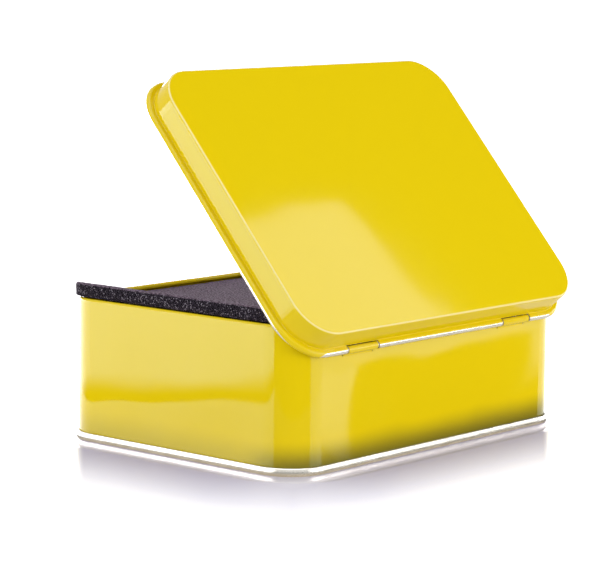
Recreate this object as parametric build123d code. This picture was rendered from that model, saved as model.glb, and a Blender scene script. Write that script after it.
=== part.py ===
"""A hinged rectangular tin of folded tinplate, standing open, with a foam inlay and a loose foam pad.

Lengths are in millimetres. The origin is the centre of the tin's footprint, on the plane it stands on.
+X runs along the hinge, +Y points to the hinge side, +Z is up. The lid is drawn closed, then turned open.
"""
from build123d import *
import math
import os

# Wall
body_length = 163.5        # outer face to outer face, along the hinge
body_width = 119.0         # outer face to outer face, front to hinge side
body_height = 55.0         # standing plane to the top of the rolled rim
corner_radius = 15.0       # outer face of the wall
sheet = 0.25               # tinplate thickness of every sheet
rim_curl_radius = 1.0      # outer radius of the inward roll at the rim
rim_turn = 282.0           # how far the rim is rolled, in degrees

# Double seam at the foot
seam_height = 3.1
seam_gap = 0.1             # air between one layer and the next
foot_bend = 0.45           # mid-line radius of the foot's two bends
seam_crown = 18.0          # lean of the seam's rounded outer face at its top and foot, in degrees
end_hook = 1.55            # straight part of the bottom's hook, inside the seam
body_hook_drop = 0.6       # top of the wall's hook, below the top of the seam

# Bottom
countersink = 3.6          # standing plane to the mid-line of the bottom's outer ring
chuck_bend = 0.6           # mid-line radius between the bottom and its upright
ring_width = 9.0           # flat ring round the bottom's raised middle
panel_step = 0.6           # rise of the middle above the ring
step_bend = 0.6
step_angle = 40.0

# Lid
slip_gap = 0.3             # wall to the inside of the skirt
panel_rest_gap = 0.15      # rim to the underside of the closed lid
edge_bend = 0.75           # mid-line radius between the panel and the skirt
bead_radius = 1.45         # outer radius of the rolled bead
bead_neck_bend = 0.4       # mid-line radius where the skirt turns out to the bead
bead_turn = 282.0          # how far the bead is rolled, in degrees
open_angle = 49.05         # how far the lid stands open

# Hinge
hinge_drop = 10.6          # rim to the hinge axis
wire_radius = 1.1
wire_end_room = 1.2        # from each end of the wire to where the corner starts
lug_offset = 47.0          # middle of the tin to the middle of each lug
lug_width = 16.6
lug_slit = 0.5             # slit beside a lug
lug_root_drop = 2.6        # hinge axis to the fold where a lug leaves the wall
lug_root_bend = 0.8
lug_wire_gap = 0.06        # wire to the inside of a lug's roll
lug_turn = 285.0           # how far a lug is rolled round the wire, in degrees
window_rise = 6.6          # hinge axis to the top of the opening that a lug is cut from
window_corner = 0.6
notch_gap = 0.8            # end of a lug to the end of the bead beside it
notch_rise = 1.5           # hinge axis to the skirt's edge above a lug

# Side seam, in the middle of the -X side
side_seam_width = 5.0
side_seam_layers = 2       # layers that stand in from the wall
side_seam_end_room = 1.0   # clear of the bottom and of the rim's roll
groove_width = 0.3
groove_depth = 0.1

# Foam
inlay_gap = 1.0            # inside of the wall to the inlay
foam_rest_gap = 0.1        # inlay to the bottom, and inlay to the pad
pad_thickness = 5.5
pad_drop = 2.0             # rim to the top of the pad where it lies flat
pad_edge_gap = 0.25        # pad to the rim's roll, across and above it
pad_overhang_inset = 0.45  # end of the pad on the rim, in from the wall's outer face
pad_side_inset = 1.3       # side of the pad above the rim, in from the wall's outer face
pad_open_corner = 9.0      # corner radius of the pad that hangs over the rim
pad_rise_angle = 12.0      # slope of the pad up to the rim, in degrees
pad_lower_bend = 30.0
pad_upper_bend = 10.0
pad_lip = 1.5              # flat stretch on the rim
recess_length = 112.0
recess_width = 72.0
recess_level = 17.4        # standing plane to the floor of the recess
recess_corner = 8.0

overrun = 2.0              # how far a cut runs past what it cuts

# Worked out from the sizes above
half_sheet = sheet / 2
rim_roll_middle = rim_curl_radius - half_sheet
bead_middle = bead_radius - half_sheet
hinge_z = body_height - hinge_drop
hinge_y = body_width / 2 + slip_gap + bead_radius
straight_half = body_length / 2 - corner_radius
lid_top = body_height + panel_rest_gap + sheet
wall_middle = -half_sheet
layer_step = sheet + seam_gap          # middle of a layer to the next, and the radius of the seam's folds
hook_floor = sheet + seam_gap + layer_step + half_sheet
window_half = lug_width / 2 + lug_slit
pad_level = body_height - pad_drop
lug_middle = wire_radius + lug_wire_gap + half_sheet


def fold(start, heading, moves, shift):
    """Edges of one face of a folded sheet, shifted left of its mid-line, then its first and last points."""
    angle = math.radians(heading)
    x = start[0] - shift * math.sin(angle)
    y = start[1] + shift * math.cos(angle)
    edges = []
    first = (x, y)
    for move in moves:
        if isinstance(move, tuple):
            radius, turn = move
            side = math.copysign(1, turn)
            arm = side * radius - shift
            middle_x = x - arm * math.sin(angle)
            middle_y = y + arm * math.cos(angle)
            stops = []
            for share in (0.5, 1):
                at = angle + math.radians(turn) * share
                stops.append((middle_x + arm * math.sin(at), middle_y - arm * math.cos(at)))
            edges.append(Edge.make_three_point_arc((x, y), *stops))
            x, y = stops[-1]
            angle += math.radians(turn)
        else:
            end = (x + move * math.cos(angle), y + move * math.sin(angle))
            edges.append(Edge.make_line((x, y), end))
            x, y = end
    return edges, first, (x, y)


def strip(start, heading, *moves, thickness=sheet):
    """Section of a folded sheet. Each move of its mid-line is a length, or a radius and a turn to the left."""
    left, left_start, left_end = fold(start, heading, moves, thickness / 2)
    right, right_start, right_end = fold(start, heading, moves, -thickness / 2)
    cut_ends = [Edge.make_line(left_start, right_start), Edge.make_line(left_end, right_end)]
    section = Face(Wire(left + right + cut_ends))
    return section if section.normal_at().Z > 0 else -section


def ring(section):
    """Carries a section round the tin. In it, x is the distance out from the wall's face, y is the height."""
    run_x = body_length / 2 - corner_radius
    run_y = body_width / 2 - corner_radius
    pieces = []
    for side in (1, -1):
        at_long = (-side * run_x, side * body_width / 2, 0)
        long_side = Plane(at_long, x_dir=(0, side, 0), z_dir=(side, 0, 0))
        pieces.append(extrude(long_side * section, amount=2 * run_x))
        at_short = (side * body_length / 2, side * run_y, 0)
        short_side = Plane(at_short, x_dir=(side, 0, 0), z_dir=(0, -side, 0))
        pieces.append(extrude(short_side * section, amount=2 * run_y))
    for side_x, side_y, quarter in ((1, 1, 0), (-1, 1, 1), (-1, -1, 2), (1, -1, 3)):
        turn = math.radians(90 * quarter)
        middle = (side_x * run_x, side_y * run_y, 0)
        outward = (math.cos(turn), math.sin(turn), 0)
        start = Plane(middle, x_dir=outward, z_dir=(math.sin(turn), -math.cos(turn), 0))
        pieces.append(revolve(start * Pos(corner_radius, 0, 0) * section, Axis(middle, (0, 0, 1)), 90))
    return pieces[0].fuse(*pieces[1:])


def plate(outward, bottom, height):
    """Flat plate with the tin's outline moved outward, from one height up."""
    length = body_length + 2 * outward
    width = body_width + 2 * outward
    outline = RectangleRounded(length, width, corner_radius + outward)
    return Pos(0, 0, bottom) * extrude(outline, amount=height)


def block(low, high):
    """Box between two corners."""
    size = [high[i] - low[i] for i in range(3)]
    centre = [(high[i] + low[i]) / 2 for i in range(3)]
    return Pos(*centre) * Box(*size)


def lug_section():
    """Section of a hinge lug in the YZ plane: out of the wall, up and over the wire."""
    root_y = body_width / 2 + wall_middle
    root_z = hinge_z - lug_root_drop
    rise = hinge_z - root_z
    reach = hinge_y - root_y - lug_root_bend
    lean = math.asin((lug_middle + lug_root_bend) / math.hypot(rise, reach)) + math.atan2(reach, rise)
    run = (reach + lug_root_bend * math.cos(lean)) * math.sin(lean)
    run += (rise - lug_root_bend * math.sin(lean)) * math.cos(lean)
    lean = math.degrees(lean)
    return strip((root_y, root_z), 90, (lug_root_bend, -lean), run, (lug_middle, lug_turn))


def make_body_wall():
    """One wrapped sheet: hook, wall and rolled rim, with the side seam and the two hinge lugs."""
    hook_x = wall_middle + 2 * layer_step
    hook_top = seam_height - body_hook_drop
    rise = body_height - half_sheet - rim_roll_middle - hook_floor
    section = strip(
        (hook_x, hook_top), -90,
        hook_top - hook_floor, (layer_step, -180), rise, (rim_roll_middle, rim_turn),
    )
    wall = ring(section)

    # Side seam: folded layers inside, a fine groove outside.
    inner_x = -body_length / 2 + sheet
    low_z = countersink + chuck_bend + side_seam_end_room
    high_z = body_height - 2 * rim_curl_radius - side_seam_end_room
    half = side_seam_width / 2
    layers = block((inner_x, -half, low_z), (inner_x + side_seam_layers * sheet, half, high_z))
    upright = layers.edges().filter_by(Axis.Z).sort_by(Axis.X)[-2:]
    wall += chamfer(upright, sheet)
    outer_x = -body_length / 2
    groove_z = body_height - 2 * rim_curl_radius
    wall -= block(
        (outer_x - overrun, half - groove_width, seam_height + seam_gap),
        (outer_x + groove_depth, half, groove_z),
    )

    # Hinge lugs: each is cut free on three sides, and rolled round the wire.
    inside = body_width / 2 - sheet
    for side in (1, -1):
        middle_x = side * lug_offset
        window = block(
            (middle_x - window_half, inside - overrun, hinge_z - lug_root_drop),
            (middle_x + window_half, inside + overrun, hinge_z + window_rise),
        )
        top_corners = window.edges().filter_by(Axis.Y).sort_by(Axis.Z)[-2:]
        wall -= fillet(top_corners, window_corner)
        across = Plane((middle_x - lug_width / 2, 0, 0), x_dir=(0, 1, 0), z_dir=(1, 0, 0))
        wall += extrude(across * lug_section(), amount=lug_width)
    return wall


def make_base_panel():
    """Bottom with a raised middle, an upright against the wall, and the outer half of the double seam."""
    upright_x = wall_middle - layer_step
    crown = math.radians(seam_crown)
    slope = math.radians(step_angle)
    step_run = (panel_step - 2 * step_bend * (1 - math.cos(slope))) / math.sin(slope)
    step_reach = 2 * step_bend * math.sin(slope) + step_run * math.cos(slope)
    start_x = upright_x - chuck_bend - ring_width - step_reach
    upright = countersink - chuck_bend - foot_bend - half_sheet
    outer_rise = seam_height - sheet - (layer_step + foot_bend) * (1 - math.sin(crown))
    crown_radius = outer_rise / (2 * math.sin(crown))
    foot = (3 + math.cos(crown)) * layer_step - (1 + math.cos(crown)) * foot_bend
    section = strip(
        (start_x, countersink + panel_step), 0,
        (step_bend, -step_angle), step_run, (step_bend, step_angle),
        ring_width, (chuck_bend, -90), upright, (foot_bend, 90), foot, (foot_bend, 90 - seam_crown),
        (crown_radius, 2 * seam_crown), (layer_step, 180 - seam_crown), end_hook,
    )
    return ring(section) + plate(start_x, countersink + panel_step - half_sheet, sheet)


def open_lid(part):
    """Turns a closed piece of the lid to where the lid stands."""
    return part.rotate(Axis((0, hinge_y, hinge_z), (-1, 0, 0)), open_angle)


def make_lid_shell():
    """Flat panel, skirt and rolled bead in one sheet, notched for the two lugs."""
    skirt_x = slip_gap + half_sheet
    panel_z = lid_top - half_sheet
    neck_z = hinge_z + bead_middle + bead_neck_bend
    bead_x = slip_gap + bead_radius
    section = strip(
        (skirt_x - 2 * edge_bend, panel_z), 0,
        edge_bend, (edge_bend, -90), panel_z - edge_bend - neck_z, (bead_neck_bend, 90),
        bead_x - skirt_x - bead_neck_bend, (bead_middle, -bead_turn),
    )
    lid = ring(section) + plate(skirt_x - 2 * edge_bend, panel_z - half_sheet, sheet)
    notch_half = lug_width / 2 + notch_gap
    for side in (1, -1):
        middle_x = side * lug_offset
        lid -= block(
            (middle_x - notch_half, body_width / 2, hinge_z - bead_radius - overrun),
            (middle_x + notch_half, hinge_y + bead_radius + overrun, hinge_z + notch_rise),
        )
    return open_lid(lid)


def make_hinge_wire():
    """Straight wire through the rear bead and both lugs."""
    half = straight_half - wire_end_room
    end = Plane((-half, hinge_y, hinge_z), x_dir=(0, 1, 0), z_dir=(1, 0, 0))
    return end * extrude(Circle(wire_radius), 2 * half)


def inlay_height():
    """Bottom and top of the inlay: on the raised bottom, up to the pad."""
    low = countersink + panel_step + half_sheet + foam_rest_gap
    return low, pad_level - pad_thickness - foam_rest_gap


def make_foam_inlay():
    """Foam block with a rounded recess, open at the top."""
    low, high = inlay_height()
    inlay = plate(-sheet - inlay_gap, low, high - low)
    outline = RectangleRounded(recess_length, recess_width, recess_corner)
    recess = extrude(outline, amount=high - recess_level + overrun)
    return inlay - Pos(0, 0, recess_level) * recess


def make_foam_pad():
    """Foam sheet that lies on the inlay and climbs up on to the rim at its +X end."""
    rim_inside = -2 * rim_curl_radius - pad_edge_gap
    end_x = body_length / 2 - pad_overhang_inset
    start_x = -body_length / 2 - rim_inside
    over_rim = body_height + pad_edge_gap
    middle_low = pad_level - pad_thickness / 2
    rise = over_rim + pad_thickness / 2 - middle_low
    slope = math.radians(pad_rise_angle)
    bends = pad_lower_bend + pad_upper_bend
    climb = (rise - bends * (1 - math.cos(slope))) / math.sin(slope)
    level = end_x - pad_lip - bends * math.sin(slope) - climb * math.cos(slope) - start_x
    section = strip(
        (start_x, middle_low), 0,
        level, (pad_lower_bend, pad_rise_angle), climb, (pad_upper_bend, -pad_rise_angle), pad_lip,
        thickness=pad_thickness,
    )
    front = Plane((0, body_width / 2, 0), x_dir=(1, 0, 0), z_dir=(0, -1, 0))
    sheet_form = extrude(front * section, amount=body_width)

    # Below the rim the pad keeps inside the roll, above it the pad lies over the rim.
    inside = plate(rim_inside, 0, over_rim)
    above_length = end_x - start_x
    above_width = body_width - 2 * pad_side_inset
    outline = RectangleRounded(above_length, above_width, pad_open_corner)
    above = Pos((end_x + start_x) / 2, 0, over_rim) * extrude(outline, amount=2 * pad_thickness)
    return sheet_form & (inside + above)


pieces = {
    "body_wall": make_body_wall(),
    "base_panel": make_base_panel(),
    "lid_shell": make_lid_shell(),
    "hinge_wire": make_hinge_wire(),
    "foam_inlay": make_foam_inlay(),
    "foam_pad": make_foam_pad(),
}

os.makedirs("parts", exist_ok=True)
for name, piece in pieces.items():
    export_step(piece, f"parts/{name}.step")
print("hinge axis at y", round(hinge_y, 4), "z", round(hinge_z, 4))
print("inlay from", round(inlay_height()[0], 4), "to", round(inlay_height()[1], 4))
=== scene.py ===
"""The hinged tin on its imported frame: gloss lacquer, bare tinplate, steel wire and open-cell foam.

Lengths are in metres, in the frame of the part: +X along the hinge, +Y to the hinge side, +Z up.
"""
import math

import bmesh
import bpy
from mathutils import Matrix, Vector, noise


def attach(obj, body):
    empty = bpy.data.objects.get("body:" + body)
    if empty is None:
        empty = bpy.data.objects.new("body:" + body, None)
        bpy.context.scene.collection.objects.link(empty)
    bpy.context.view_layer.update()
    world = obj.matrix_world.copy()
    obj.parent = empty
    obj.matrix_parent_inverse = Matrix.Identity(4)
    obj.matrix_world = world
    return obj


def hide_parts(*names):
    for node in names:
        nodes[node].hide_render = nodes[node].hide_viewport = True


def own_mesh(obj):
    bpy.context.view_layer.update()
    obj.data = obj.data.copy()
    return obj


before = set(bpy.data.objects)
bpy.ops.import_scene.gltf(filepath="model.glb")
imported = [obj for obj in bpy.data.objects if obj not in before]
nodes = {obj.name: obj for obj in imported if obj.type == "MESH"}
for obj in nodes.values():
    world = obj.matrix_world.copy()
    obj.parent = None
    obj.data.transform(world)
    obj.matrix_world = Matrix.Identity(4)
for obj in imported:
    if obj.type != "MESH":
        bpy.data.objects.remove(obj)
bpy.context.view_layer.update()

MM = 0.001

# The tin, as its source has it
WALL_X = 81.75 * MM         # outer face of the wall
WALL_Y = 59.5 * MM
CORNER = 15.0 * MM
HALF_SHEET = 0.125 * MM
RIM_Z = 55.0 * MM
RIM_RADIUS = 1.0 * MM
RIM_DEPTH = 4 * RIM_RADIUS  # the roll lies within this of the rim
SEAM_TOP = 3.1 * MM
HINGE = Vector((0.0, 61.25 * MM, 44.4 * MM))
WIRE_ROLL = 1.285 * MM      # mid-line radius of a lug's roll
LID_OPEN = math.radians(49.05)
PANEL_Z = 55.275 * MM       # mid-line of the closed lid's panel
SKIRT_OUT = 0.425 * MM      # mid-line of the skirt, outward from the wall
EDGE_BEND = 0.75 * MM       # mid-line radius of the bend round the panel
BEND_OUT = SKIRT_OUT - EDGE_BEND
BEND_Z = PANEL_Z - EDGE_BEND
BEAD_OUT = 1.75 * MM        # middle of the bead, outward from the wall
BEAD_MIDDLE = 1.325 * MM    # mid-line radius of the bead
TIN_MIDDLE = Vector((0.0, 0.0, 50 * MM))    # what the lamps and the lid's softbox face

# Sockets of the Mix node for colours
MIX_SHARE, MIX_FIRST, MIX_SECOND, MIX_RESULT = 0, 6, 7, 2

# Used in several materials
WHITE = (1.0, 1.0, 1.0)
BLACK = (0.0, 0.0, 0.0)
EVEN = 1.0                  # detail of a slow, even noise


class Shader:
    """A material's or the world's node tree, with short ways to add what is used here."""

    def __init__(self, owner):
        owner.use_nodes = True
        self.tree = owner.node_tree
        self.tree.nodes.clear()

    def add(self, kind, *values, named=None, **fields):
        """A node: values fill its sockets in order, or by name with named, and keywords set its fields."""
        node = self.tree.nodes.new(kind)
        for key, value in fields.items():
            setattr(node, key, value)
        for socket, value in zip(node.inputs, values):
            self.put(socket, value)
        for name, value in (named or {}).items():
            self.put(node.inputs[name], value)
        return node

    def put(self, socket, value):
        """Links a socket to another, or sets its value."""
        if isinstance(value, bpy.types.NodeSocket):
            self.tree.links.new(value, socket)
        elif socket.type == "RGBA":
            socket.default_value = (*value, 1.0)
        else:
            socket.default_value = value

    def scalar(self, operation, *values):
        return self.add("ShaderNodeMath", *values, operation=operation).outputs[0]

    def vector(self, operation, *values, out="Vector"):
        return self.add("ShaderNodeVectorMath", *values, operation=operation).outputs[out]

    def minus(self, first, second):
        return self.scalar("SUBTRACT", first, second)

    def above(self, value, limit):
        """1 where a value is above a limit, and 0 elsewhere."""
        return self.scalar("GREATER_THAN", value, limit)

    def chain(self, operation, values):
        """One operation carried along several values."""
        total = values[0]
        for value in values[1:]:
            total = self.scalar(operation, total, value)
        return total

    def either(self, *values):
        """The largest of several values."""
        return self.chain("MAXIMUM", values)

    def both(self, *values):
        """The product of several values."""
        return self.chain("MULTIPLY", values)

    def ramp(self, value, low, high, to_low=0.0, to_high=1.0, smooth=True):
        """A value's place between two limits, carried over to two others and held at both."""
        kind = "SMOOTHSTEP" if smooth else "LINEAR"
        node = self.add("ShaderNodeMapRange", value, low, high, to_low, to_high, interpolation_type=kind)
        return node.outputs[0]

    def mix(self, share, first, second):
        """One colour to another by a share."""
        node = self.add("ShaderNodeMix", data_type="RGBA")
        for index, value in ((MIX_SHARE, share), (MIX_FIRST, first), (MIX_SECOND, second)):
            self.put(node.inputs[index], value)
        return node.outputs[MIX_RESULT]

    def noise(self, place, size, detail=2.0, stretch=None):
        """Noise whose features have that size."""
        if stretch:
            place = self.vector("MULTIPLY", place, stretch)
        named = {"Vector": place, "Scale": 1.0 / size, "Detail": detail}
        return self.add("ShaderNodeTexNoise", named=named).outputs["Fac"]

    def cells(self, place, size, feature="F1", out="Distance"):
        """Voronoi cells of that size."""
        named = {"Vector": place, "Scale": 1.0 / size}
        return self.add("ShaderNodeTexVoronoi", named=named, feature=feature).outputs[out]

    def bump(self, height, depth, below=None):
        """A normal from a height of 0 to 1 that stands for that depth, on top of another normal."""
        node = self.add("ShaderNodeBump", named={"Distance": depth, "Height": height})
        if below:
            self.put(node.inputs["Normal"], below)
        return node.outputs[0]

    def place(self):
        """The point in the part's frame, as it is at rest."""
        return self.add("ShaderNodeTexCoord").outputs["Object"]

    def axes(self, place):
        return self.add("ShaderNodeSeparateXYZ", place).outputs

    def join(self, share, first, second):
        """One surface to another by a share."""
        return self.add("ShaderNodeMixShader", share, first, second).outputs[0]

    def surface(self, **sockets):
        """A surface by its sockets' names, with _ for a space."""
        named = {name.replace("_", " "): value for name, value in sockets.items()}
        return self.add("ShaderNodeBsdfPrincipled", named=named).outputs[0]

    def finish(self, surface):
        self.add("ShaderNodeOutputMaterial", surface)


def new_material(name):
    material = bpy.data.materials.new(name)
    return material, Shader(material)


def times(colour, shares):
    return tuple(value * share for value, share in zip(colour, shares))


# Places on the tin

def from_corner(shader, place):
    """A point's way from the nearest corner's centre, or from the line between two such centres."""
    overs = []
    for along, limit in zip(shader.axes(place), (WALL_X, WALL_Y)):
        over = shader.minus(shader.scalar("ABSOLUTE", along), limit - CORNER)
        overs.append(shader.scalar("MAXIMUM", over, 0.0))
    return shader.add("ShaderNodeCombineXYZ", *overs).outputs[0]


def past_wall(shader, place):
    """How far a point lies outward of the wall's outer face."""
    return shader.minus(shader.vector("LENGTH", from_corner(shader, place), out="Value"), CORNER)


def reach(shader, across, up, centre):
    """Distance of the point (across, up) of a section from a centre in it."""
    ways = [shader.minus(value, middle) for value, middle in zip((across, up), centre)]
    return shader.vector("LENGTH", shader.add("ShaderNodeCombineXYZ", *ways).outputs[0], out="Value")


def bearing(shader, across, up, centre):
    """Angle of the point (across, up) of a section round a centre in it: 0 is outward, and up is more."""
    return shader.scalar("ARCTAN2", shader.minus(up, centre[1]), shader.minus(across, centre[0]))


# Lacquer
YELLOW = (0.79, 0.585, 0.004)
TONE_DIM = 0.985
TONE_SIZE = 6 * MM
WAVE_SIZE = 45 * MM
WALL_DENTS = 0.65 * MM      # slow unevenness of the sheet, as its gloss shows it
LID_DENTS = 0.14 * MM
PEEL_SIZE = 1.6 * MM
PEEL_DEPTH = 0.0002 * MM
SCRATCH_SIZE = 0.5 * MM
SCRATCH_STRETCH = (1.0, 0.06, 0.25)     # longest along Y
SCRATCH_LIMITS = (0.35, 0.8)
LACQUER_ROUGH = (0.045, 0.075)
DUST_SPACING = 2.6 * MM
DUST_REACH = 0.12           # a speck's radius, as a share of the spacing
DUST_ROUGH = 0.05
LACQUER_IOR = 1.33
LACQUER_TINT = (0.35, 0.82, 1.0)        # of what it mirrors head-on


def lacquer_tone(shader, place):
    """The yellow, slightly uneven."""
    return shader.mix(shader.noise(place, TONE_SIZE), YELLOW, times(YELLOW, (TONE_DIM,) * 3))


def lacquer(shader, place, colour, dents):
    """Glossy lacquer with a faint unevenness, fine dust and hair scratches."""
    waves = shader.noise(place, WAVE_SIZE, EVEN)
    peel = shader.noise(place, PEEL_SIZE, EVEN)
    scratch = shader.noise(place, SCRATCH_SIZE, stretch=SCRATCH_STRETCH)
    speck = shader.ramp(shader.cells(place, DUST_SPACING), 0.0, DUST_REACH, 1.0, 0.0)
    rough = shader.ramp(scratch, *SCRATCH_LIMITS, *LACQUER_ROUGH, smooth=False)
    rough = shader.scalar("ADD", rough, shader.both(speck, DUST_ROUGH))
    relief = shader.bump(peel, PEEL_DEPTH, shader.bump(waves, dents))
    return shader.surface(
        Base_Color=colour, Roughness=rough, Normal=relief, IOR=LACQUER_IOR, Specular_Tint=LACQUER_TINT
    )


# Bare metal
TIN_COLOUR = (0.76, 0.73, 0.67)
TIN_ROUGH = (0.2, 0.34)
BOTTOM_ROUGH = (0.22, 0.36)
STEEL_COLOUR = (0.80, 0.78, 0.74)
STEEL_ROUGH = (0.25, 0.4)
ROLLING_SIZE = 0.25 * MM
ROLLING_DETAIL = 3.0
ROLLING_STRETCH = (0.03, 1.0, 1.0)      # longest along X
ROLLING_LIMITS = (0.25, 0.8)
ROLLING_DEPTH = 0.0015 * MM
BLOOM_SIZE = 9 * MM
BLOOM_DETAIL = 3.0
BLOOM_LIMITS = (0.3, 0.75)
BLOOM_DIM = (0.86, 0.85, 0.82)


def bare_metal(shader, place, colour=TIN_COLOUR, rough=TIN_ROUGH):
    """Bright metal with rolling lines and a patchy bloom."""
    lines = shader.noise(place, ROLLING_SIZE, ROLLING_DETAIL, ROLLING_STRETCH)
    bloom = shader.ramp(shader.noise(place, BLOOM_SIZE, BLOOM_DETAIL), *BLOOM_LIMITS)
    return shader.surface(
        Base_Color=shader.mix(bloom, colour, times(colour, BLOOM_DIM)), Metallic=1.0,
        Roughness=shader.ramp(lines, *ROLLING_LIMITS, *rough), Normal=shader.bump(lines, ROLLING_DEPTH)
    )


def metal_material(name, colour, rough):
    material, shader = new_material(name)
    shader.finish(bare_metal(shader, shader.place(), colour, rough))
    return material


# Painted shade at the wall's foot: the yellow turns olive towards the seam, and more so on the hinge side
PAINTED_FOOT_SHADE = (0.195, 0.160, 0.015)
FOOT_SHADE_BOTTOM = SEAM_TOP - 1 * MM
FOOT_SHADE_TOP = (SEAM_TOP + 10 * MM, SEAM_TOP + 12 * MM)
FOOT_SHADE_DRIFT = 30 * MM
FOOT_SHADE_DRIFT_LIMITS = (0.2, 0.8)
FOOT_SHADE_SIDES = (32 * MM, WALL_Y - 4 * MM)    # along Y, where it deepens towards the hinge side
FOOT_SHADE_LEAST = 0.36


def wall_colour_with_painted_shade(shader, place):
    """Yellow with painted shade: it turns olive towards the seam, and more so on the hinge side."""
    axes = shader.axes(place)
    top = shader.ramp(shader.noise(place, FOOT_SHADE_DRIFT, EVEN), *FOOT_SHADE_DRIFT_LIMITS, *FOOT_SHADE_TOP)
    most = shader.ramp(axes["Y"], *FOOT_SHADE_SIDES, FOOT_SHADE_LEAST, 1.0)
    share = shader.both(shader.ramp(axes["Z"], FOOT_SHADE_BOTTOM, top, 1.0, 0.0), most)
    return shader.mix(share, lacquer_tone(shader, place), PAINTED_FOOT_SHADE)


def wall_material():
    """Lacquer on the sheet's outer face, also round the rim's roll and the lugs; bare tinplate inside."""
    material, shader = new_material("lacquer_and_tin_wall")
    place = shader.place()
    out = past_wall(shader, place)
    axes = shader.axes(place)
    y, up = axes["Y"], axes["Z"]
    outside = shader.above(out, -HALF_SHEET)
    from_roll = reach(shader, out, up, (-RIM_RADIUS, RIM_Z - RIM_RADIUS))
    near_rim = shader.above(up, RIM_Z - RIM_DEPTH)
    rim = shader.both(shader.above(from_roll, RIM_RADIUS - HALF_SHEET), near_rim)
    from_wire = reach(shader, y, up, (HINGE.y, HINGE.z))
    in_roll = shader.both(shader.above(WIRE_ROLL, from_wire), shader.above(y, WALL_Y + 2 * HALF_SHEET))
    share = shader.both(shader.either(outside, rim), shader.minus(1.0, in_roll))
    # The wall's colour holds painted shade at its foot, towards the seam
    paint = lacquer(shader, place, wall_colour_with_painted_shade(shader, place), WALL_DENTS)
    shader.finish(shader.join(share, bare_metal(shader, place), paint))
    return material


# The lacquer's edge on the lid's bead, as angles round the bead's middle, up from outward
MARGIN_PLAIN = math.radians(2)
MARGIN_CORNERS = math.radians(-40)      # round the corners at the hinge
MARGIN_HINGE = math.radians(56)         # along the hinge side
MARGIN_WANDER = 0.12                    # in radians
MARGIN_WANDER_SIZE = 14 * MM
TURN_TO_CORNER = (0.2, 0.75)            # limits of how far the bead's outward way points to the hinge side
TURN_TO_HINGE = (0.96, 1.0)
# Painted highlight: a pale line on the crest of the bend round the panel
BEND_HIGHLIGHT_YELLOW = (0.96, 0.90, 0.58)
CREST = math.radians(50)
CREST_LIMITS = (math.radians(8), math.radians(34))
CREST_HIGHLIGHT = 0.5


def bead_margin(shader, closed):
    """The angle round the bead above which it has lacquer: least at the hinge's corners, most between."""
    way = shader.vector("NORMALIZE", from_corner(shader, closed))
    on_hinge_side = shader.above(shader.axes(closed)["Y"], 0.0)
    faces_hinge = shader.both(shader.axes(way)["Y"], on_hinge_side)
    margin = shader.ramp(faces_hinge, *TURN_TO_CORNER, MARGIN_PLAIN, MARGIN_CORNERS)
    margin = shader.ramp(faces_hinge, *TURN_TO_HINGE, margin, MARGIN_HINGE)
    wander = shader.both(shader.noise(closed, MARGIN_WANDER_SIZE, EVEN), MARGIN_WANDER)
    return shader.scalar("ADD", margin, wander)


def lid_material():
    """Lacquer outside with a painted highlight on the bend's crest, bare inside, and a bare margin round
    the lower part of the bead.
    """
    material, shader = new_material("lacquer_and_tin_lid")
    named = {"Vector": shader.place(), "Center": HINGE, "Angle": LID_OPEN}
    closed = shader.add("ShaderNodeVectorRotate", named=named, rotation_type="X_AXIS").outputs[0]
    out = past_wall(shader, closed)
    up = shader.axes(closed)["Z"]
    panel = shader.above(up, PANEL_Z)
    skirt = shader.both(shader.above(out, SKIRT_OUT), shader.above(up, HINGE.z + BEAD_MIDDLE))
    bend = shader.both(
        shader.above(reach(shader, out, up, (BEND_OUT, BEND_Z)), EDGE_BEND),
        shader.above(up, BEND_Z), shader.above(out, BEND_OUT)
    )
    bead = shader.both(
        shader.above(reach(shader, out, up, (BEAD_OUT, HINGE.z)), BEAD_MIDDLE),
        shader.above(bearing(shader, out, up, (BEAD_OUT, HINGE.z)), bead_margin(shader, closed)),
        shader.above(out, SKIRT_OUT)
    )
    # Painted highlight: a pale yellow along the crest of the bend round the panel
    turn = bearing(shader, out, up, (BEND_OUT, BEND_Z))
    from_crest = shader.scalar("ABSOLUTE", shader.minus(turn, CREST))
    painted_highlight = shader.both(bend, shader.ramp(from_crest, *CREST_LIMITS, CREST_HIGHLIGHT, 0.0))
    colour = shader.mix(painted_highlight, lacquer_tone(shader, closed), BEND_HIGHLIGHT_YELLOW)
    paint = lacquer(shader, closed, colour, LID_DENTS)
    share = shader.either(panel, skirt, bend, bead)
    shader.finish(shader.join(share, bare_metal(shader, closed), paint))
    return material


# Foam
FOAM_DARK = (0.001, 0.001, 0.002)
FOAM_STRUT = (0.007, 0.004, 0.008)
FOAM_GLINT = (0.36, 0.32, 0.37)
# Painted light: the colour of faces that point up, paler than the rest
FOAM_LIT_TOP = (0.30, 0.22, 0.29)
CELL = 0.8 * MM
FINE_CELL = CELL * 0.62
STRUT_WIDTH = (0.03, 0.2)
STRUT_DEPTH = 0.35 * MM
GLINT_PICK = (0.74, 0.86)               # which of the fine cells glint
GLINT_WIDTH = (0.36, 0.64)
GLINT_ON_LIT_TOP = 0.4
LIT_TOP_FACING = (0.45, 0.8)               # how far up a face looks, for the painted light that makes the top paler
LIT_TOP_GRAIN = 0.8 * MM
LIT_TOP_LIMITS = (0.3, 0.72)
FOAM_ROUGH = (0.9, 0.6)
FOAM_IOR = 1.12
FOAM_SHEEN = 0.2
FOAM_SHEEN_ROUGH = 0.27
FOAM_SHEEN_TINT = (0.84, 0.66, 0.92)


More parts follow.
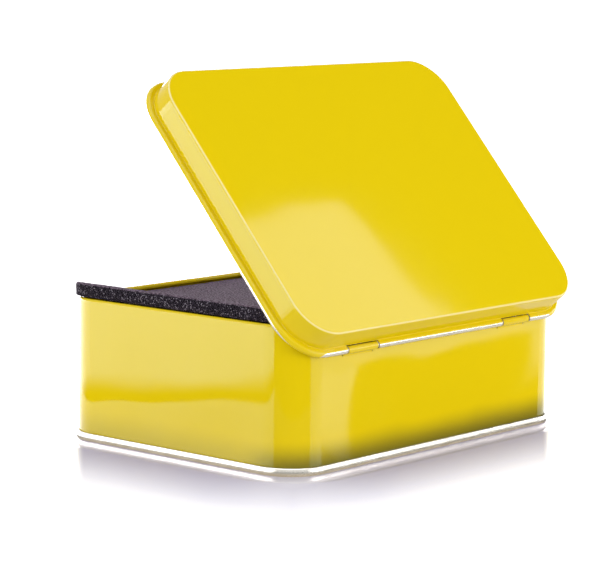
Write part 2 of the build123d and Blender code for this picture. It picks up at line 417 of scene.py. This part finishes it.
def foam_material():
    """Open-cell foam: dark cells, some with painted glints, and painted light that makes faces pointing up
    paler.
    """
    material, shader = new_material("open_cell_foam")
    place = shader.place()
    strut = shader.ramp(shader.cells(place, CELL, "DISTANCE_TO_EDGE"), *STRUT_WIDTH, 1.0, 0.0)
    pick = shader.add("ShaderNodeSeparateColor", shader.cells(place, FINE_CELL, out="Color")).outputs[0]
    dot = shader.ramp(shader.cells(place, FINE_CELL), *GLINT_WIDTH, 1.0, 0.0)
    normal = shader.add("ShaderNodeTexCoord").outputs["Normal"]
    # Painted light: faces that point up get a paler colour
    lit_top = shader.ramp(shader.axes(normal)["Z"], *LIT_TOP_FACING)
    shine = shader.ramp(lit_top, 0.0, 1.0, 1.0, GLINT_ON_LIT_TOP)
    # Painted glints: bright dots in the base colour, fainter on faces that point up
    glint = shader.both(shader.ramp(pick, *GLINT_PICK), dot, shine)
    grain = shader.ramp(shader.noise(place, LIT_TOP_GRAIN), *LIT_TOP_LIMITS)
    tone = shader.mix(strut, FOAM_DARK, FOAM_STRUT)
    tone = shader.mix(lit_top, tone, shader.mix(grain, FOAM_STRUT, FOAM_LIT_TOP))
    shader.finish(shader.surface(
        Base_Color=shader.mix(glint, tone, FOAM_GLINT),
        Roughness=shader.ramp(strut, 0.0, 1.0, *FOAM_ROUGH), Normal=shader.bump(strut, STRUT_DEPTH),
        IOR=FOAM_IOR, Sheen_Weight=FOAM_SHEEN, Sheen_Roughness=FOAM_SHEEN_ROUGH, Sheen_Tint=FOAM_SHEEN_TINT
    ))
    return material


WELD = 0.001 * MM           # corners nearer than this become one
PAD_VOXEL = 0.8 * MM
PAD_RELIEF = 0.28 * MM
INLAY_VOXEL = 1.5 * MM
INLAY_RELIEF = 0.25 * MM
TORN_SIZE = 0.9 * MM
TORN_LEVEL = 0.55           # mean depth of the torn face, as a share of its relief
BROAD_SIZE = 14 * MM
BROAD_SHARE = 0.35


def foam_piece(name, node, voxel, relief):
    """Foam in its solid's form: remeshed finely, its faces torn open by the cells."""
    welded = bmesh.new()
    welded.from_mesh(nodes[node].data)
    bmesh.ops.remove_doubles(welded, verts=welded.verts, dist=WELD)
    form = bpy.data.meshes.new(name + "_form")
    welded.to_mesh(form)
    welded.free()
    piece = bpy.data.objects.new(name, form)
    bpy.context.scene.collection.objects.link(piece)
    remesh = piece.modifiers.new("remesh", "REMESH")
    remesh.mode = "VOXEL"
    remesh.voxel_size = voxel
    remesh.use_smooth_shade = True
    graph = bpy.context.evaluated_depsgraph_get()
    made = bpy.data.meshes.new_from_object(piece.evaluated_get(graph))
    piece.modifiers.clear()
    piece.data = made
    made.name = name
    fine = 1.0 / TORN_SIZE
    broad = 1.0 / BROAD_SIZE
    torn = []
    for place, normal in [(vertex.co.copy(), vertex.normal.copy()) for vertex in made.vertices]:
        depth = relief * (TORN_LEVEL - noise.noise(place * fine))
        depth += BROAD_SHARE * relief * noise.noise(place * broad)
        torn.extend(place - normal * depth)
    made.vertices.foreach_set("co", torn)
    made.update()
    made.polygons.foreach_set("use_smooth", [True] * len(made.polygons))
    return piece


# Camera, at the photograph's viewing angle
CAMERA_AT = Vector((0.74919, 0.64023, 0.19051))
CAMERA_FORWARD = Vector((-0.7501, -0.6473, -0.1357))
CAMERA_ROLL = math.radians(0.593)
CAMERA_LENS = 148.37
CAMERA_SENSOR = 36.0
CAMERA_NEAR = 0.05
CAMERA_FAR = 50.0


def set_camera():
    right = CAMERA_FORWARD.cross(Vector((0, 0, 1))).normalized()
    up = right.cross(CAMERA_FORWARD).normalized()
    turned_right = right * math.cos(CAMERA_ROLL) + up * math.sin(CAMERA_ROLL)
    turned_up = up * math.cos(CAMERA_ROLL) - right * math.sin(CAMERA_ROLL)
    axes = Matrix((turned_right, turned_up, -CAMERA_FORWARD.normalized())).transposed()
    camera = bpy.data.objects.new("camera", bpy.data.cameras.new("camera"))
    bpy.context.scene.collection.objects.link(camera)
    camera.matrix_world = Matrix.Translation(CAMERA_AT) @ axes.to_4x4()
    camera.data.lens = CAMERA_LENS
    camera.data.sensor_width = CAMERA_SENSOR
    camera.data.sensor_fit = "HORIZONTAL"
    camera.data.clip_start = CAMERA_NEAR
    camera.data.clip_end = CAMERA_FAR
    bpy.context.scene.camera = camera
    bpy.context.scene.view_settings.view_transform = "Standard"


def away_from(azimuth, height):
    """Direction at an azimuth from +X and an elevation, in degrees."""
    a, e = math.radians(azimuth), math.radians(height)
    return Vector((math.cos(a) * math.cos(e), math.sin(a) * math.cos(e), math.sin(e)))


LAMP_DISTANCE = 1.3


def lamp(name, azimuth, height, size, radiance):
    """A soft square lamp aimed at the tin. Gloss doesn't mirror it, but the cards below."""
    data = bpy.data.lights.new(name, "AREA")
    data.shape = "RECTANGLE"
    data.size = size
    data.size_y = size
    data.energy = radiance * math.pi * size * size
    light = bpy.data.objects.new(name, data)
    away = away_from(azimuth, height)
    light.location = TIN_MIDDLE + away * LAMP_DISTANCE
    light.rotation_mode = "QUATERNION"
    light.rotation_quaternion = away.to_track_quat("Z", "Y")
    light.visible_camera = False
    light.visible_glossy = False
    bpy.context.scene.collection.objects.link(light)


def card(name, points, low, high=None):
    """A softbox's glowing front, or a black card, as the gloss shows it. The camera doesn't see it.

    Its radiance may change from low at the bottom to high at the top.
    """
    mesh = bpy.data.meshes.new(name)
    mesh.from_pydata(points, [], [tuple(range(len(points)))])
    panel = bpy.data.objects.new(name, mesh)
    bpy.context.scene.collection.objects.link(panel)
    material, shader = new_material(name)
    radiance = low
    if high is not None:
        heights = [point[2] for point in points]
        radiance = shader.ramp(shader.axes(shader.place())["Z"], min(heights), max(heights), low, high)
    shader.finish(shader.add("ShaderNodeEmission", WHITE, radiance).outputs[0])
    mesh.materials.append(material)
    panel.visible_camera = False
    panel.visible_diffuse = False
    panel.visible_shadow = False


BOX_DISTANCE = 1.2
BLACK_DISTANCE = 1.4        # of the black cards, behind the softboxes
STRIP = (-15, 12)           # elevations of the upright softboxes


def curved_card(name, azimuths, heights, low, high=None, steps=8, distance=BOX_DISTANCE):
    """A card bent round the tin, between two azimuths and two elevations."""
    first, last = azimuths
    bottom, top = heights
    for step in range(steps):
        near, far = [first + (last - first) * (step + part) / steps for part in (0, 1)]
        points = []
        for azimuth, height in ((near, bottom), (far, bottom), (far, top), (near, top)):
            point = away_from(azimuth, 0) * distance
            point.z = math.tan(math.radians(height)) * distance
            points.append(point)
        card(f"{name}_{step}", points, low, high)


# Softboxes and black cards that show in the tin: azimuths and elevations are in degrees
curved_card("left_strip", azimuths=(-140, -4), heights=STRIP, low=4.0, high=8.5)
curved_card("right_strip", azimuths=(95, 136), heights=STRIP, low=1.0, high=7.5, steps=4)
curved_card("far_strip", azimuths=(144.5, 215), heights=STRIP, low=1.0, high=5.5, steps=6)
curved_card("low_strip", azimuths=(136, 144.5), heights=(-15, -2), low=2.4, steps=2)
curved_card("black_front", azimuths=(-4, 95), heights=(-15, 0), low=0.0, distance=BLACK_DISTANCE)
curved_card("black_right", azimuths=(136, 145), heights=(0, 14), low=0.0, steps=3, distance=BLACK_DISTANCE)
curved_card("black_lid", azimuths=(158, 215), heights=(12, 62), low=0.0, distance=BLACK_DISTANCE)

# The softbox overhead, wider towards +X
CEILING_Z = 1300 * MM
CEILING_BACK = -250 * MM
CEILING_LEFT = -900 * MM
CEILING_FRONT = 1400 * MM
CEILING_CORNERS = (
    (CEILING_BACK, CEILING_BACK), (CEILING_FRONT, CEILING_LEFT),
    (CEILING_FRONT, CEILING_FRONT), (CEILING_BACK, CEILING_FRONT)
)
card("ceiling", [(x, y, CEILING_Z) for x, y in CEILING_CORNERS], low=3.0)

# The softbox that the lid shows: places in its own plane, along to larger azimuths and up
BOX_AWAY = away_from(azimuth=150, height=38)
BOX_START = -220 * MM
BOX_TOP_END = 120 * MM
BOX_LOW_END = 122 * MM
BOX_TIP = (217 * MM, 66 * MM)           # its corner at the largest azimuth
BOX_TOP = 214 * MM
BOX_LOW = -200 * MM
BOX_CORNERS = (
    BOX_TIP, (BOX_TOP_END, BOX_TOP), (BOX_START, BOX_TOP), (BOX_START, BOX_LOW), (BOX_LOW_END, BOX_LOW)
)
box_along = Vector((0, 0, 1)).cross(BOX_AWAY).normalized()
box_up = BOX_AWAY.cross(box_along)
box_centre = TIN_MIDDLE + BOX_AWAY * BOX_DISTANCE
card("lid_softbox", [box_centre + box_along * along + box_up * up for along, up in BOX_CORNERS], low=2.8)

lamp("top_lamp", azimuth=40, height=78, size=0.8, radiance=0.6)
lamp("left_lamp", azimuth=-15, height=5, size=0.6, radiance=4.45)
lamp("right_lamp", azimuth=105, height=5, size=0.6, radiance=6.35)


def plainly_seen(shader):
    """1 for rays from the camera, a reflection or a pane."""
    path = shader.add("ShaderNodeLightPath").outputs
    return shader.either(path["Is Camera Ray"], path["Is Glossy Ray"], path["Is Transmission Ray"])


WORLD_FILL = 0.78


def set_world():
    """Soft fill, white to the camera and in reflections."""
    world = bpy.data.worlds.new("studio")
    bpy.context.scene.world = world
    shader = Shader(world)
    strength = shader.ramp(plainly_seen(shader), 0.0, 1.0, WORLD_FILL, 1.0, smooth=False)
    background = shader.add("ShaderNodeBackground", WHITE, strength).outputs[0]
    shader.add("ShaderNodeOutputWorld", background)


# Floor: pale and matte, with a lavender shade from the tin towards the camera, as from light behind it
FLOOR = 20.0                # half its width
FLOOR_PALE = (0.86, 0.85, 0.88)
FLOOR_GLOW = 0.7
FLOOR_SHADE = (0.53, 0.52, 0.74)
SHADE_AZIMUTH = math.radians(40.5)
SHADE_START = 16 * MM       # how far from the tin's foot the shade starts to fade
SHADE_END = 118 * MM
SHADE_FADE = 1.5            # power by which it fades
SHADE_TAPER = 0.13          # how much narrower the shade gets on each side, for each length along it
SHADE_EDGE = (6 * MM, 12 * MM)
SHADE_CORNER = 70 * MM      # over what width the shade is thinner at the tin's corner
SHADE_AT_CORNER = 0.62
POLISH_COLOUR = (0.86, 0.83, 0.88)
POLISH_ROUGH = 0.1
POLISH_SHARE = 0.4
POLISH_EDGE = (9 * MM, 13 * MM)

# What the tin mirrors of the floor: a smooth sheet, dark at a low angle, with a black border to the left
SHEET_AZIMUTH = math.radians(48)
SHEET_CAMERA = 199 * MM     # how far it reaches towards the camera
SHEET_LEFT = 174 * MM
SHEET_HINGE = 196 * MM      # how far it reaches on the hinge side
SHEET_FRONT = 130 * MM      # how far it reaches on the side away from the hinge
SHEET_ROUGH = 0.05
BORDER = 18 * MM
BORDER_FADE = 60 * MM
EDGE_FADE = 18 * MM
STEEP_WHITE = (0.90, 0.88, 0.84)
STEEP_FACING = (0.60, 0.76)  # Facing, from steep rays to low ones
SEAM_SHADOW = (0.66, 0.57, 0.45)
SEAM_SHADOW_EDGE = (1.5 * MM, 6 * MM)


def shade_depth(shader, place):
    """How deep the shade is at a point of the floor. It runs from the tin's foot towards the camera."""
    slopes = (math.cos(SHADE_AZIMUTH), math.sin(SHADE_AZIMUTH))
    sides = list(zip(shader.axes(place), (WALL_X, WALL_Y), slopes))
    ways = [shader.scalar("DIVIDE", shader.minus(along, limit), slope) for along, limit, slope in sides]
    far = shader.either(*ways, 0.0)
    fall = shader.ramp(far, SHADE_START, SHADE_END, 1.0, 0.0, smooth=False)
    shares = [shader.scalar("POWER", fall, SHADE_FADE)]
    for along, limit, slope in sides:
        back = shader.minus(along, shader.both(far, slope + SHADE_TAPER))
        shares.append(shader.ramp(back, *(edge - limit for edge in SHADE_EDGE)))
    beside_corner = shader.scalar("ABSOLUTE", shader.minus(*ways))
    shares.append(shader.ramp(beside_corner, 0.0, SHADE_CORNER, SHADE_AT_CORNER, 1.0))
    return shader.both(*shares)


def plain_floor(shader, place, beside):
    """The floor as it is seen and lit, polished just beside the tin."""
    pale = shader.minus(1.0, shade_depth(shader, place))
    matte = shader.add("ShaderNodeBsdfDiffuse", shader.mix(pale, FLOOR_SHADE, FLOOR_PALE)).outputs[0]
    glow = shader.both(plainly_seen(shader), pale, pale, FLOOR_GLOW)
    light = shader.add("ShaderNodeEmission", WHITE, glow).outputs[0]
    plain = shader.add("ShaderNodeAddShader", matte, light).outputs[0]
    polish = shader.add("ShaderNodeBsdfGlossy", POLISH_COLOUR, POLISH_ROUGH).outputs[0]
    return shader.join(shader.ramp(beside, *POLISH_EDGE, POLISH_SHARE, 0.0), plain, polish)


def mirrored_floor(shader, place, beside):
    """The floor as the tin's gloss shows it."""
    to_camera = Vector((math.cos(SHEET_AZIMUTH), math.sin(SHEET_AZIMUTH), 0))
    to_left = Vector((math.sin(SHEET_AZIMUTH), -math.cos(SHEET_AZIMUTH), 0))
    y = shader.axes(place)["Y"]
    past_left = shader.minus(shader.vector("DOT_PRODUCT", place, to_left, out="Value"), SHEET_LEFT)
    past_camera = shader.minus(shader.vector("DOT_PRODUCT", place, to_camera, out="Value"), SHEET_CAMERA)
    past_hinge = shader.minus(y, SHEET_HINGE)
    past_front = shader.minus(-SHEET_FRONT, y)
    smooth = shader.surface(Base_Color=BLACK, Roughness=SHEET_ROUGH)
    black = shader.add("ShaderNodeBsdfDiffuse", BLACK).outputs[0]
    clear = shader.add("ShaderNodeBsdfTransparent").outputs[0]
    over = shader.either(
        shader.ramp(past_left, BORDER, BORDER + BORDER_FADE),
        shader.ramp(shader.either(past_camera, past_hinge), 0.0, EDGE_FADE),
        shader.ramp(past_front, 0.0, BORDER_FADE)
    )
    sheet = shader.join(shader.above(past_left, 0.0), smooth, black)
    sheet = shader.join(over, sheet, clear)
    facing = shader.add("ShaderNodeLayerWeight").outputs["Facing"]
    colour = shader.mix(shader.ramp(beside, *SEAM_SHADOW_EDGE), SEAM_SHADOW, STEEP_WHITE)
    white = shader.add("ShaderNodeEmission", colour, 1.0).outputs[0]
    return shader.join(shader.ramp(facing, *STEEP_FACING), white, sheet)


def add_floor():
    corners = [(-FLOOR, -FLOOR, 0), (FLOOR, -FLOOR, 0), (FLOOR, FLOOR, 0), (-FLOOR, FLOOR, 0)]
    mesh = bpy.data.meshes.new("floor")
    mesh.from_pydata(corners, [], [(0, 1, 2, 3)])
    floor = bpy.data.objects.new("floor", mesh)
    bpy.context.scene.collection.objects.link(floor)
    material, shader = new_material("floor")
    place = shader.place()
    beside = past_wall(shader, place)
    mirrored = shader.add("ShaderNodeLightPath").outputs["Is Glossy Ray"]
    plain = plain_floor(shader, place, beside)
    shader.finish(shader.join(mirrored, plain, mirrored_floor(shader, place, beside)))
    mesh.materials.append(material)


set_camera()
set_world()
add_floor()

# Metal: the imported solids, with their finishes
for name, material in (
    ("body_wall", wall_material()), ("lid_shell", lid_material()),
    ("base_panel", metal_material("tin_bottom", TIN_COLOUR, BOTTOM_ROUGH)),
    ("hinge_wire", metal_material("hinge_steel", STEEL_COLOUR, STEEL_ROUGH))
):
    data = nodes[name].data
    data.materials.clear()
    data.materials.append(material)

# Foam: pieces of their own in place of the solids
foam = foam_material()
pad = foam_piece("foam_pad_open_cell", "foam_pad", PAD_VOXEL, PAD_RELIEF)
inlay = foam_piece("foam_inlay_open_cell", "foam_inlay", INLAY_VOXEL, INLAY_RELIEF)
for piece, node in ((pad, "foam_pad"), (inlay, "foam_inlay")):
    piece.data.materials.clear()
    piece.data.materials.append(foam)
    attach(piece, "tin")
    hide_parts(node)
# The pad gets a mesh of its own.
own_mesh(pad)
